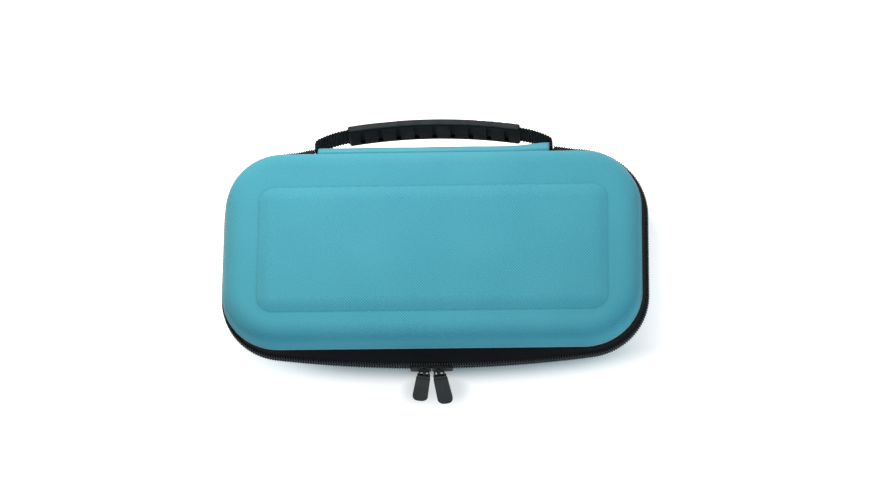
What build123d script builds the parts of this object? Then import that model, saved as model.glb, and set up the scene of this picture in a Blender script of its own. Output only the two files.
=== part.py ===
"""Stiff zip-round carrying case for a handheld game console, closed and lying on its base.

Millimetres, +Z up. The origin lies on the face that the case rests on, the zip's front is at -Y
and the spine with the handle is at +Y.
"""

import os
from math import asin, atan2, cos, degrees, radians, sin, sqrt, tan

from build123d import *

os.makedirs("parts", exist_ok=True)

# Moulded halves, whose open edge is the rim
rim_length = 230.0
rim_depth = 114.0
rim_corner = 32.0
rim_gap = 13.0
shell_rise = 14.5
shell_wall = 3.0
wall_draft = 9.0
edge_radius = 10.0

# Raised panel on each half
panel_length = 192.0
panel_depth = 73.5
panel_corner = 9.0
panel_rise = 2.0
panel_slope = 4.1
panel_round = 16.0
panel_shift_x = 1.0
panel_shift_y = -3.8

# Zip, whose reaches are measured outward from the rim
zip_side_reach = 2.7
zip_back_reach = 5.0
zip_front_reach = 9.0
zip_front_corner = 36.0
zip_back_corner = 40.0
bow_radius = 680.0
coil_width = 2.2
coil_height = 2.2
coil_gap = 0.7
coil_round = 0.6
tape_width = 1.6
tape_lap = 0.6
tape_tuck = 0.3

# Spine that joins the halves at the back
spine_length = 129.0
spine_wall = 1.6
spine_bulge = 1.0
spine_flange = 2.5
hinge_clearance = 0.2

# Handle, laid out from the hinge line
handle_droop = 6.0
handle_reach = 14.4
grip_radius = 282.0
grip_length = 96.0
grip_width = 17.0
grip_thickness = 4.2
grip_round = 1.3
strap_width = 13.8
strap_thickness = 1.6
strap_shoulder = 2.3
strap_bend = 2.5
strap_tail = 2.0
strap_clearance = 0.2
slot_count = 9
slot_pitch = 10.2
slot_width = 2.6
slot_height = 12.0
slot_depth = 1.0

# Sliders, each with a plate on both sides of the coils
slider_length = 11.4
slider_meeting = 0.4
slider_clearance = 0.35
plate_thickness = 0.9
plate_corner = 0.8
plate_round = 0.4
tail_height = 5.4
shoulder_height = 6.8
shoulder_offset = 2.4
nose_height = 6.0
web_length = 2.6
web_inset = 0.4
web_clearance = 0.15
inner_plate_length = 10.4
inner_plate_height = 4.4
inner_plate_thickness = 0.85
crown_width = 1.8
crown_offset = 2.0
crown_height = 4.6
crown_bar = 0.7
crown_leg = 0.8
crown_round = 0.6

# Pulls: a wire loop through the crown and a tab moulded over it
left_lean = 23.0
right_lean = 29.0
left_splay = -9.5
right_splay = 7.3
wire = 1.0
wire_round = 0.4
wire_clearance = 0.35
loop_width = 5.2
loop_length = 5.2
loop_corner = 1.2
collar_start = 2.8
collar_length = 1.9
collar_width = 7.0
collar_thickness = 1.9
tab_length = 18.4
tab_top_width = 7.6
tab_end_width = 8.6
tab_thickness = 2.4
tab_top_corner = 0.7
tab_end_corner = 3.4
tab_round = 0.5

# Inside
binding_height = 4.5
binding_thickness = 0.8
mesh_thickness = 0.9
pocket_mouth = -25.0
mouth_depth = 5.0
mouth_height = 2.2
mouth_lap = 2.5
mouth_clearance = 0.5
band_width = 25.0
band_thickness = 1.2
band_offset = 62.0
band_corner = 1.0

# Heights
mid_z = panel_rise + shell_rise + rim_gap / 2
lid_rim = mid_z + rim_gap / 2
coil_bottom = mid_z + coil_gap / 2
coil_top = coil_bottom + coil_height
mid_plane = Plane.XY.offset(mid_z)

# Zip line: the bowed front, two front corners, two sides, two back corners and the back
rim_back = rim_depth / 2
side_x = rim_length / 2 + zip_side_reach
zip_back = rim_back + zip_back_reach
zip_front = rim_back + zip_front_reach
bow_y = bow_radius - zip_front
front_x = side_x - zip_front_corner
front_y = bow_y - sqrt((bow_radius - zip_front_corner) ** 2 - front_x**2)
front_turn = degrees(asin(front_x / (bow_radius - zip_front_corner)))
back_x = side_x - zip_back_corner
back_y = zip_back - zip_back_corner
spine_window = spine_length + 2 * (strap_thickness + 2 * strap_clearance)


def rim_face(inset):
    """Outline of the rim, moved inward by inset."""
    RectangleRounded(rim_length - 2 * inset, rim_depth - 2 * inset, rim_corner - inset)


def zip_face(inset):
    """Outline of the zip's outer side, moved inward by inset."""
    with BuildLine() as outline:
        CenterArc((0, bow_y), bow_radius - inset, 270 - front_turn, 2 * front_turn)
        CenterArc((front_x, front_y), zip_front_corner - inset, 270 + front_turn, 90 - front_turn)
        Line((side_x - inset, front_y), (side_x - inset, back_y))
        CenterArc((back_x, back_y), zip_back_corner - inset, 0, 90)
        Line((back_x, zip_back - inset), (-back_x, zip_back - inset))
        CenterArc((-back_x, back_y), zip_back_corner - inset, 90, 90)
        Line((inset - side_x, back_y), (inset - side_x, front_y))
        CenterArc((-front_x, front_y), zip_front_corner - inset, 180, 90 - front_turn)
    make_face(outline.edges())


def cut_spine_window():
    """Open the zip across the back, where the spine and the handle's ends sit."""
    with Locations((0, zip_back, mid_z)):
        Box(spine_window, rim_depth, 2 * rim_gap, mode=Mode.SUBTRACT)


def cavity_inset(height):
    """How far the inner wall stands inside the rim's outline at this height above the rim."""
    return shell_wall + height * tan(radians(wall_draft))


# Moulded halves
with BuildPart() as lid_shell:
    with BuildSketch(Plane.XY.offset(lid_rim)):
        rim_face(0)
    extrude(amount=shell_rise, taper=wall_draft)
    fillet(lid_shell.faces().sort_by(Axis.Z)[-1].edges(), edge_radius)
    with BuildSketch(Plane.XY.offset(lid_rim + shell_rise)):
        with Locations((panel_shift_x, panel_shift_y)):
            RectangleRounded(panel_length, panel_depth, panel_corner)
    extrude(amount=panel_rise, taper=degrees(atan2(panel_slope, panel_rise)))
    fillet(lid_shell.faces().sort_by(Axis.Z)[-1].edges(), panel_round)
    with BuildSketch(Plane.XY.offset(lid_rim)):
        rim_face(shell_wall)
    extrude(amount=shell_rise - shell_wall, taper=wall_draft, mode=Mode.SUBTRACT)
    ceiling = lid_shell.faces().filter_by(Axis.Z).sort_by(Axis.Z)[1]
    fillet(ceiling.edges(), edge_radius - shell_wall)

with BuildPart() as base_shell:
    mirror(lid_shell.part, about=mid_plane)

# Zip tapes and coils
with BuildPart() as upper_zip_tape:
    for inset, mode in ((0, Mode.ADD), (tape_width, Mode.SUBTRACT)):
        with BuildSketch(Plane.XY.offset(coil_top)):
            zip_face(coil_width - tape_lap + inset)
        with BuildSketch(Plane.XY.offset(lid_rim)):
            rim_face(tape_tuck + inset)
        loft(ruled=True, mode=mode)
    cut_spine_window()

with BuildPart() as lower_zip_tape:
    mirror(upper_zip_tape.part, about=mid_plane)

with BuildPart() as upper_zip_coil:
    with BuildSketch(Plane.XY.offset(coil_bottom)):
        zip_face(0)
    extrude(amount=coil_height)
    fillet(upper_zip_coil.faces().filter_by(Axis.Z).edges(), coil_round)
    with BuildSketch(Plane.XY.offset(coil_bottom)):
        zip_face(coil_width)
    extrude(amount=coil_height, mode=Mode.SUBTRACT)
    cut_spine_window()

with BuildPart() as lower_zip_coil:
    mirror(upper_zip_coil.part, about=mid_plane)

# Spine: a channel whose flanges lie against the two rims
spine_inner = rim_back - spine_flange
spine_outer = rim_back + spine_bulge

with BuildPart() as spine_panel:
    with BuildSketch(Plane.YZ):
        for inset, mode in ((0, Mode.ADD), (spine_wall, Mode.SUBTRACT)):
            half = rim_gap / 2 - inset
            with BuildLine():
                Polyline(
                    (spine_outer, mid_z - half),
                    (spine_inner, mid_z - half),
                    (spine_inner, mid_z + half),
                    (spine_outer, mid_z + half),
                )
                ThreePointArc(
                    (spine_outer, mid_z + half),
                    (spine_outer + half, mid_z),
                    (spine_outer, mid_z - half),
                )
            make_face(mode=mode)
    extrude(amount=spine_length / 2, both=True)

# Handle: the grip's arc runs on into a tighter curve, a bend and a straight end beside the spine
hinge_y = zip_back + hinge_clearance
droop = radians(handle_droop)
handle_plane = Plane((0, hinge_y, mid_z), x_dir=(1, 0, 0), z_dir=(0, sin(droop), cos(droop)))
foot_x = spine_length / 2 + strap_clearance + strap_thickness / 2
grip_centre = (0, handle_reach - grip_radius)
grip_turn = asin(grip_length / 2 / grip_radius)
grip_end = (grip_length / 2, grip_centre[1] + grip_radius * cos(grip_turn))
bend_centre = (foot_x - strap_bend, strap_shoulder)
run = bend_centre[0] - grip_end[0]
drop = grip_end[1] - bend_centre[1]
strap_curve = (run**2 + drop**2 - strap_bend**2) / (
    2 * (drop * cos(grip_turn) - run * sin(grip_turn) - strap_bend)
)
curve_centre = (grip_end[0] - strap_curve * sin(grip_turn), grip_end[1] - strap_curve * cos(grip_turn))
strap_turn = atan2(bend_centre[0] - curve_centre[0], bend_centre[1] - curve_centre[1])
grip_angle = degrees(grip_turn)
strap_angle = degrees(strap_turn)

with BuildPart() as handle_webbing:
    with BuildSketch(handle_plane):
        with BuildLine():
            CenterArc(grip_centre, grip_radius, 90 - grip_angle, grip_angle)
            CenterArc(curve_centre, strap_curve, 90 - strap_angle, strap_angle - grip_angle)
            CenterArc(bend_centre, strap_bend, 0, 90 - strap_angle)
            Line((foot_x, bend_centre[1]), (foot_x, -strap_tail))
            mirror(about=Plane.YZ)
        trace(line_width=strap_thickness)
    extrude(amount=strap_width / 2, both=True)

with BuildPart() as handle_grip:
    with BuildSketch(handle_plane):
        with BuildLine():
            CenterArc(grip_centre, grip_radius, 90 - grip_angle, 2 * grip_angle)
        trace(line_width=grip_thickness)
    extrude(amount=grip_width / 2, both=True)
    fillet(handle_grip.edges(), grip_round)
    with BuildSketch(handle_plane):
        with BuildLine():
            CenterArc(grip_centre, grip_radius, 90 - grip_angle, 2 * grip_angle)
        trace(line_width=strap_thickness + 2 * strap_clearance)
    extrude(amount=strap_width / 2 + strap_clearance, both=True, mode=Mode.SUBTRACT)
    slot_span = degrees((slot_count - 1) * slot_pitch / grip_radius)
    with BuildSketch(handle_plane):
        with Locations(grip_centre):
            with PolarLocations(
                grip_radius - grip_thickness / 2, slot_count, 90 - slot_span / 2, slot_span, endpoint=True
            ):
                Rectangle(2 * slot_depth, slot_width)
    extrude(amount=slot_height / 2, both=True, mode=Mode.SUBTRACT)


def front_plane(turn):
    """Plane on the zip's bowed front, its X along the zip, its Y up and its Z outward."""
    place = (bow_radius * sin(turn), bow_y - bow_radius * cos(turn), mid_z)
    return Plane(place, x_dir=(cos(turn), sin(turn), 0), z_dir=(sin(turn), -cos(turn), 0))


# Sliders: outer plate, web between the coils, inner plate and crown
slider_turn = (slider_length + slider_meeting) / 2 / bow_radius
slider_plane = front_plane(-slider_turn)
crown_place = slider_plane.origin + slider_plane.x_dir * crown_offset
crown_plane = Plane(crown_place, x_dir=slider_plane.z_dir, z_dir=slider_plane.x_dir)
plate_face = slider_clearance + plate_thickness
crown_hole = wire + 2 * wire_clearance
web_thickness = coil_gap - 2 * web_clearance

with BuildPart() as left_slider_body:
    with BuildSketch(slider_plane.offset(slider_clearance)) as plate:
        with BuildLine():
            Polyline(
                (-slider_length / 2, -tail_height / 2),
                (-slider_length / 2, tail_height / 2),
                (shoulder_offset, shoulder_height / 2),
                (slider_length / 2, nose_height / 2),
                (slider_length / 2, -nose_height / 2),
                (shoulder_offset, -shoulder_height / 2),
                close=True,
            )
        make_face()
        fillet(plate.vertices(), plate_corner)
    extrude(amount=plate_thickness)
    fillet(left_slider_body.faces().sort_by(Axis.Y)[0].edges(), plate_round)
    with BuildSketch(slider_plane.offset(slider_clearance)):
        with Locations(((slider_length - web_length) / 2 - web_inset, 0)):
            Rectangle(web_length, web_thickness)
    extrude(amount=-(coil_width + 2 * slider_clearance))
    with BuildSketch(slider_plane.offset(-coil_width - slider_clearance)):
        RectangleRounded(inner_plate_length, inner_plate_height, plate_corner)
    extrude(amount=-inner_plate_thickness)
    with BuildSketch(crown_plane):
        with Locations((plate_face, 0)):
            crown = Rectangle(crown_hole + crown_bar, crown_height, align=(Align.MIN, Align.CENTER))
            fillet(crown.vertices().sort_by(Axis.X)[-2:], crown_round)
            Rectangle(
                crown_hole,
                crown_height - 2 * crown_leg,
                align=(Align.MIN, Align.CENTER),
                mode=Mode.SUBTRACT,
            )
    extrude(amount=crown_width / 2, both=True)

with BuildPart() as right_slider_body:
    mirror(left_slider_body.part, about=Plane.YZ)


def pull_plane(turn, offset, lean_angle):
    """Plane of a resting pull: its origin on the loop's bar in the crown, its Y up the pull."""
    seat = front_plane(turn).offset(plate_face + crown_hole / 2)
    lean = radians(lean_angle)
    lean_dir = seat.y_dir * sin(lean) + seat.z_dir * cos(lean)
    return Plane(seat.origin + seat.x_dir * offset, x_dir=seat.x_dir, z_dir=lean_dir)


def make_loop(plane, splay):
    """Wire loop whose bar lies across the crown and whose legs follow the splayed tab."""
    drift = loop_length * tan(radians(splay))
    with BuildPart() as loop:
        with BuildSketch(plane):
            with BuildLine():
                FilletPolyline(
                    (-loop_width / 2, 0),
                    (loop_width / 2, 0),
                    (loop_width / 2 + drift, -loop_length),
                    (-loop_width / 2 + drift, -loop_length),
                    radius=loop_corner,
                    close=True,
                )
            trace(line_width=wire)
        extrude(amount=wire / 2, both=True)
        fillet(loop.faces().filter_by(Axis(plane.origin, plane.z_dir)).edges(), wire_round)
    return loop


def make_tab(plane, splay, loop):
    """Flat tab with a collar, moulded over the far bar of the loop."""
    turn = radians(splay)
    tab_plane = Plane(plane.origin, plane.x_dir * cos(turn) + plane.y_dir * sin(turn), plane.z_dir)
    tab_start = -collar_start - collar_length
    with BuildPart() as tab:
        with BuildSketch(tab_plane) as outline:
            with BuildLine():
                Polyline(
                    (-tab_top_width / 2, tab_start),
                    (tab_top_width / 2, tab_start),
                    (tab_end_width / 2, tab_start - tab_length),
                    (-tab_end_width / 2, tab_start - tab_length),
                    close=True,
                )
            make_face()
            fillet(outline.vertices().group_by(Axis.Y)[-1], tab_top_corner)
            fillet(outline.vertices().group_by(Axis.Y)[0], tab_end_corner)
        extrude(amount=tab_thickness / 2, both=True)
        fillet(tab.faces().filter_by(Axis(plane.origin, plane.z_dir)).edges(), tab_round)
        with BuildSketch(tab_plane):
            with Locations((0, -collar_start)):
                Rectangle(collar_width, collar_length, align=(Align.CENTER, Align.MAX))
        extrude(amount=collar_thickness / 2, both=True)
        add(loop.part, mode=Mode.SUBTRACT)
    return tab


left_pull_plane = pull_plane(-slider_turn, crown_offset, left_lean)
right_pull_plane = pull_plane(slider_turn, -crown_offset, right_lean)
left_pull_loop = make_loop(left_pull_plane, left_splay)
right_pull_loop = make_loop(right_pull_plane, right_splay)
left_pull_tab = make_tab(left_pull_plane, left_splay, left_pull_loop)
right_pull_tab = make_tab(right_pull_plane, right_splay, right_pull_loop)

# Bindings over the seams inside
with BuildPart() as lid_seam_binding:
    for inset, mode in ((0, Mode.ADD), (binding_thickness, Mode.SUBTRACT)):
        with BuildSketch(Plane.XY.offset(lid_rim)):
            rim_face(shell_wall + inset)
        extrude(amount=binding_height, taper=wall_draft, mode=mode)

with BuildPart() as base_seam_binding:
    mirror(lid_seam_binding.part, about=mid_plane)

# Net pocket in the lid, open toward the front
mesh_bottom = lid_rim + binding_height

with BuildPart() as pocket_mesh:
    with BuildSketch(Plane.XY.offset(mesh_bottom)):
        rim_face(cavity_inset(binding_height))
    extrude(amount=mesh_thickness, taper=wall_draft)
    split(bisect_by=Plane.XZ.offset(-pocket_mouth), keep=Keep.BOTTOM)

with BuildPart() as pocket_binding:
    with BuildSketch(Plane.XY.offset(mesh_bottom + (mesh_thickness - mouth_height) / 2)):
        rim_face(cavity_inset(binding_height) + binding_thickness + mouth_clearance)
        with Locations((0, pocket_mouth + mouth_lap)):
            Rectangle(rim_length, mouth_depth, align=(Align.CENTER, Align.MAX), mode=Mode.INTERSECT)
    extrude(amount=mouth_height)
    add(pocket_mesh.part, mode=Mode.SUBTRACT)


# Elastic bands that lie across the floor of the base
floor_inset = cavity_inset(shell_rise - shell_wall) + edge_radius - shell_wall


def make_band(x):
    """Band sewn down at both ends of the floor's flat part."""
    with BuildPart() as band:
        with BuildSketch(Plane.XY.offset(panel_rise + shell_wall)):
            with Locations((x, 0)):
                RectangleRounded(band_width, rim_depth - 2 * floor_inset, band_corner)
        extrude(amount=band_thickness)
    return band


left_elastic_band = make_band(-band_offset)
right_elastic_band = make_band(band_offset)

pieces = {
    "lid_shell": lid_shell,
    "base_shell": base_shell,
    "upper_zip_tape": upper_zip_tape,
    "lower_zip_tape": lower_zip_tape,
    "upper_zip_coil": upper_zip_coil,
    "lower_zip_coil": lower_zip_coil,
    "spine_panel": spine_panel,
    "handle_webbing": handle_webbing,
    "handle_grip": handle_grip,
    "left_slider_body": left_slider_body,
    "right_slider_body": right_slider_body,
    "left_pull_loop": left_pull_loop,
    "right_pull_loop": right_pull_loop,
    "left_pull_tab": left_pull_tab,
    "right_pull_tab": right_pull_tab,
    "lid_seam_binding": lid_seam_binding,
    "base_seam_binding": base_seam_binding,
    "pocket_mesh": pocket_mesh,
    "pocket_binding": pocket_binding,
    "left_elastic_band": left_elastic_band,
    "right_elastic_band": right_elastic_band,
}
for label, piece in pieces.items():
    piece.part.label = label
    export_step(piece.part, f"parts/{label}.step")
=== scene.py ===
import math

import bmesh
import bpy
import numpy as np
from mathutils import Matrix, Vector


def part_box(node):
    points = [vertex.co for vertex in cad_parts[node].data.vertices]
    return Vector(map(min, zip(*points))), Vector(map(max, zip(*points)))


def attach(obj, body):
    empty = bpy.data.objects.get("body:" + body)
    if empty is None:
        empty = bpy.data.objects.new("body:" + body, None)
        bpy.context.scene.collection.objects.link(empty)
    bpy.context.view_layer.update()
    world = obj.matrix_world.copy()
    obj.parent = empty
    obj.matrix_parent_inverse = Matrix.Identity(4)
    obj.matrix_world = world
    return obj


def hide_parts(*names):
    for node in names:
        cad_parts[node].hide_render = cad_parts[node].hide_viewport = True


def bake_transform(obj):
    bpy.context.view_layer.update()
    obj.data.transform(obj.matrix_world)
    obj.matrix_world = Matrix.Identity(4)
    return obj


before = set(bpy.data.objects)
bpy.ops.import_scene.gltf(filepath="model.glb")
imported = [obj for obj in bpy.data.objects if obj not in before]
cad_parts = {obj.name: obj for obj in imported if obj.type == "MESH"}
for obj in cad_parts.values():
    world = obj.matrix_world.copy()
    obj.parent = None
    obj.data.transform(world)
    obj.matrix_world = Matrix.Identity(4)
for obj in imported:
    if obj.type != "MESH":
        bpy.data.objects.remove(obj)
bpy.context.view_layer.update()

MM = 0.001

# Sizes of the solids, in millimetres
RIM_LENGTH, RIM_DEPTH, RIM_CORNER = 230.0, 114.0, 32.0
BASE_RIM, MID_Z, LID_RIM = 16.5, 23.0, 29.5
SHELL_WALL, WALL_SLOPE = 3.0, math.tan(math.radians(9.0))
SIDE_X, ZIP_BACK, ZIP_FRONT = 117.7, 62.0, 66.0
FRONT_CORNER, BACK_CORNER, BOW_RADIUS = 36.0, 40.0, 680.0
SPINE_LENGTH, SPINE_WINDOW = 129.0, 133.0
SPINE_ROOT, SPINE_FLANGE, SPINE_WALL = 58.0, 54.5, 1.6
COIL_WIDTH, COIL_HEIGHT, COIL_GAP = 2.2, 2.2, 0.7
TAPE_THICKNESS, TAPE_LAP, TAPE_TUCK = 1.6, 0.2, 0.3
HINGE_Y, HANDLE_DROOP = 62.2, math.radians(6.0)
GRIP_RADIUS, HANDLE_REACH, GRIP_LENGTH, GRIP_THICKNESS = 282.0, 14.4, 96.0, 4.2
SLOT_COUNT, SLOT_PITCH, SLOT_HEIGHT = 9, 10.2, 12.0
STRAP_WIDTH, STRAP_THICKNESS, STRAP_FOOT, STRAP_TAIL = 13.8, 1.6, 65.5, 2.0
STRAP_SHOULDER, STRAP_BEND = 2.3, 2.5
BINDING_HEIGHT, BINDING_THICKNESS = 4.5, 0.8
NET_Z, POCKET_MOUTH = 34.45, -25.0
PANEL_LENGTH, PANEL_DEPTH, PANEL_CORNER, PANEL_X, PANEL_Y = 192.0, 73.5, 9.0, 1.0, -3.8

# The photographed zip sits a little to the right of its lid, and bulges where it goes under the spine
ZIP_SHIFT, ZIP_BULGE, BULGE_LENGTH = 1.4, 1.9, 13.0


SHEEN_ROUGHNESS = 0.6


class Shader:
    """One material with a short way to add and link nodes."""

    def __init__(self, name, roughness, specular=0.5, sheen=0.0):
        self.material = bpy.data.materials.new(name)
        self.material.use_nodes = True
        self.tree = self.material.node_tree
        self.bsdf = self.tree.nodes["Principled BSDF"]
        self.bsdf.inputs["Roughness"].default_value = roughness
        self.bsdf.inputs["Specular IOR Level"].default_value = specular
        self.bsdf.inputs["Sheen Weight"].default_value = sheen
        self.bsdf.inputs["Sheen Roughness"].default_value = SHEEN_ROUGHNESS

    def add(self, kind):
        return self.tree.nodes.new(kind)

    def put(self, socket, value):
        if isinstance(value, bpy.types.NodeSocket):
            self.tree.links.new(value, socket)
        else:
            socket.default_value = value

    def math(self, operation, a, b=0.0):
        node = self.add("ShaderNodeMath")
        node.operation = operation
        self.put(node.inputs[0], a)
        self.put(node.inputs[1], b)
        return node.outputs[0]

    def weigh(self, a, share_a, b, share_b):
        """Sum of two values, each times its share."""
        return self.math("ADD", self.math("MULTIPLY", a, share_a), self.math("MULTIPLY", b, share_b))

    def flip(self, value):
        """0 to 1 becomes 1 to 0."""
        return self.math("SUBTRACT", 1.0, value)

    def length(self, a, b):
        """Length of a flat vector."""
        return self.math("SQRT", self.weigh(a, a, b, b))

    def choose(self, factor, a, b):
        """a where factor is 0 and b where it is 1."""
        node = self.add("ShaderNodeMix")
        self.put(node.inputs[0], factor)
        self.put(node.inputs[2], a)
        self.put(node.inputs[3], b)
        return node.outputs[0]

    def tint(self, factor, a, b):
        """Colour a where factor is 0 and colour b where it is 1."""
        node = self.add("ShaderNodeMix")
        node.data_type = "RGBA"
        self.put(node.inputs[0], factor)
        self.put(node.inputs[6], a)
        self.put(node.inputs[7], b)
        return node.outputs[2]

    def split(self, vector):
        node = self.add("ShaderNodeSeparateXYZ")
        self.put(node.inputs[0], vector)
        return node.outputs[0], node.outputs[1], node.outputs[2]

    def noise(self, size, detail=2.0):
        """Noise whose features are about this many metres across."""
        node = self.add("ShaderNodeTexNoise")
        node.inputs["Scale"].default_value = 1.0 / size
        node.inputs["Detail"].default_value = detail
        self.put(node.inputs["Vector"], self.add("ShaderNodeTexCoord").outputs["Object"])
        return node.outputs[0]

    def spread(self, value, low, high):
        """value from low to high becomes 0 to 1."""
        node = self.add("ShaderNodeMapRange")
        self.put(node.inputs[0], value)
        node.inputs[1].default_value = low
        node.inputs[2].default_value = high
        return node.outputs[0]

    def smooth(self, value, low, high):
        """The same with a soft start and end."""
        result = self.spread(value, low, high)
        result.node.interpolation_type = "SMOOTHSTEP"
        return result

    def wave(self, coordinate, pitch):
        return self.math("COSINE", self.math("MULTIPLY", coordinate, 2 * math.pi / pitch))

    def ridge(self, wave):
        """A wave from -1 to 1 becomes 0 to 1."""
        return self.math("ADD", self.math("MULTIPLY", wave, 0.5), 0.5)

    def rounded_distance(self, x, y, centre, half, corner):
        """Distance outside a rounded rectangle, less than 0 inside it."""
        past = [
            self.math("SUBTRACT", self.math("ABSOLUTE", self.math("SUBTRACT", at, middle)), size - corner)
            for at, middle, size in zip((x, y), centre, half)
        ]
        out = [self.math("MAXIMUM", part, 0.0) for part in past]
        reach = self.length(*out)
        depth = self.math("MINIMUM", self.math("MAXIMUM", past[0], past[1]), 0.0)
        return self.math("SUBTRACT", self.math("ADD", reach, depth), corner)

    def object_cloth(self):
        """Cloth coordinates of a solid: flat on its top, along its walls, and its normal's height."""
        coords = self.add("ShaderNodeTexCoord")
        x, y, z = self.split(coords.outputs["Object"])
        nx, ny, nz = self.split(coords.outputs["Normal"])
        flat = self.math("GREATER_THAN", self.math("ABSOLUTE", nz), 0.6)
        faces_y = self.math("GREATER_THAN", self.math("ABSOLUTE", ny), self.math("ABSOLUTE", nx))
        u = self.choose(flat, self.choose(faces_y, y, x), x)
        v = self.choose(flat, z, y)
        return u, v, nz

    def uv_cloth(self):
        """Cloth coordinates of a mesh whose UVs are metres."""
        x, y, _ = self.split(self.add("ShaderNodeTexCoord").outputs["UV"])
        return x, y

    def finish(self, color, height=None, distance=0.0002, strength=0.5):
        self.put(self.bsdf.inputs["Base Color"], color)
        if height is not None:
            bump = self.add("ShaderNodeBump")
            bump.inputs["Strength"].default_value = strength
            bump.inputs["Distance"].default_value = distance
            self.put(bump.inputs["Height"], height)
            self.put(self.bsdf.inputs["Normal"], bump.outputs[0])
        return self.material


# Materials: colours, as dark and pale tones where a pattern mixes two
TURQUOISE = (0.106, 0.533, 0.652, 1)
TURQUOISE_DARK = (0.046, 0.286, 0.378, 1)
TURQUOISE_PALE = (0.121, 0.518, 0.627, 1)
SPINE_PALE = (0.27, 0.66, 0.80, 1)
SHEEN_TINT = (0.65, 0.94, 1.0, 1)
EDGE_TONES = (0.22, 0.53, 0.59, 1), (0.42, 0.63, 0.66, 1)
LINING_TONES = (0.024, 0.025, 0.028, 1), (0.042, 0.043, 0.048, 1)
TAPE_TONES = (0.0030, 0.0030, 0.0042, 1), (0.0085, 0.0090, 0.0110, 1)
BINDING_TONES = (0.008, 0.008, 0.010, 1), (0.022, 0.022, 0.025, 1)
ELASTIC_TONES = (0.010, 0.010, 0.012, 1), (0.026, 0.027, 0.030, 1)
NET_TONES = (0.012, 0.012, 0.014, 1), (0.034, 0.034, 0.038, 1)
# The dark tone is also the webbing's painted shade between its ribs
WEBBING_TONES = (0.0008, 0.0008, 0.0010, 1), (0.0210, 0.0225, 0.0250, 1)
# The coil's winding: pale tones that are a painted highlight on black nylon, and its black cord
COIL_HIGHLIGHT_TONES, CORD_BLACK = ((0.045, 0.047, 0.049, 1), (0.115, 0.120, 0.122, 1)), (0.001, 0.001, 0.0012, 1)
GRIP_TONES = (0.0044, 0.0058, 0.0070, 1), (0.0092, 0.0115, 0.0135, 1)
# The grip's painted highlight where it faces up, and the painted shade in its slots
GRIP_TOP_HIGHLIGHT, GRIP_SLOT_SHADE = (0.040, 0.047, 0.050, 1), (0.0016, 0.0018, 0.0020, 1)
# The sliders' pale edges: painted highlight and worn paint
SLIDER_TONES, SLIDER_EDGE_HIGHLIGHT_AND_WEAR = ((0.003, 0.003, 0.004, 1), (0.007, 0.007, 0.008, 1)), (0.075, 0.077, 0.077, 1)
WIRE_TONES = (0.006, 0.006, 0.007, 1), (0.013, 0.013, 0.014, 1)
TAB_TONES = (0.0225, 0.0235, 0.0225, 1), (0.034, 0.035, 0.034, 1)
THREAD_TONES = (0.014, 0.014, 0.016, 1), (0.034, 0.034, 0.038, 1)

# Sizes of the patterns in millimetres, strengths and shares
WEAVE_PITCH, WEAVE_FUZZ, WEAVE_BUMP, WEAVE_STRENGTH = 1.6, 0.4, 0.25, 0.45
TONE_PATCH, TONE_SHARE, SPINE_PALE_SHARE = 35.0, 0.25, 0.2
# Width and strength of the painted shade line along the panel's crease, and the fleece's grain
CREASE_WIDTH, CREASE_SHADE, FLEECE_SIZE = 1.0, 0.28, 0.7
# The panel's foot: how far the cloth is drawn down toward the crease, and over what width
FOOT_FALL, FOOT_WIDTH = 1.3, 8.5
# The painted shade along the spine's seams: where its soft edge starts and ends, and how dark it is
SEAM_FOLD, SEAM_WIDTH, SEAM_SHADE = 2.3, 3.6, 0.85
EDGE_PATCH, EDGE_FUZZ, EDGE_BUMP = 1.2, 0.5, 0.15
TAPE_FUZZ, TAPE_BUMP = 0.35, 0.2
EDGE_HIGHLIGHT_AND_WEAR_RADIUS, PAINT_PATCH, GRIP_GRAIN, GRIP_BUMP = 0.35, 6.0, 0.5, 0.05
# Margin and depth of the painted shade in the grip's slots
SLOT_MARGIN, SLOT_DEPTH = 0.2, 0.25


def turquoise(shader, u, v):
    """Colour and height of the shells' diagonal weave."""
    pitch = WEAVE_PITCH * MM
    dots = shader.ridge(shader.math("MULTIPLY", shader.wave(u, pitch), shader.wave(v, pitch)))
    fuzz = shader.noise(WEAVE_FUZZ * MM, 3.0)
    tone = shader.spread(shader.noise(TONE_PATCH * MM, 1.0), 0.3, 0.7)
    height = shader.math("ADD", dots, shader.math("MULTIPLY", fuzz, 0.5))
    thread = shader.tint(shader.weigh(dots, 0.75, fuzz, 0.4), TURQUOISE_DARK, TURQUOISE)
    color = shader.tint(shader.math("MULTIPLY", tone, TONE_SHARE), thread, TURQUOISE_PALE)
    return color, height


def shell_material(name, inside):
    """Woven outside and fleece lining; inside is the sign of the lining's upward normal."""
    shader = Shader(name, roughness=0.8, specular=0.12, sheen=0.28)
    shader.bsdf.inputs["Sheen Tint"].default_value = SHEEN_TINT
    u, v, nz = shader.object_cloth()
    color, height = turquoise(shader, u, v)
    x, y, _ = shader.split(shader.add("ShaderNodeTexCoord").outputs["Object"])
    middle, half = (PANEL_X * MM, PANEL_Y * MM), (PANEL_LENGTH / 2 * MM, PANEL_DEPTH / 2 * MM)
    past_panel = shader.rounded_distance(x, y, middle, half, PANEL_CORNER * MM)
    # Painted shade: a dark line along the panel's crease
    crease = shader.flip(shader.spread(shader.math("ABSOLUTE", past_panel), 0.0, CREASE_WIDTH * MM))
    color = shader.tint(shader.math("MULTIPLY", crease, CREASE_SHADE), color, TURQUOISE_DARK)
    fleece = shader.tint(shader.noise(FLEECE_SIZE * MM, 4.0), *LINING_TONES)
    lined = shader.math("GREATER_THAN", shader.math("MULTIPLY", nz, inside), 0.05)
    foot = shader.choose(lined, shader.smooth(past_panel, -FOOT_WIDTH * MM, 0.0), 0.0)
    height = shader.math("SUBTRACT", height, shader.math("MULTIPLY", foot, FOOT_FALL / WEAVE_BUMP))
    return shader.finish(shader.tint(lined, color, fleece), height, WEAVE_BUMP * MM, WEAVE_STRENGTH)


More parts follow.
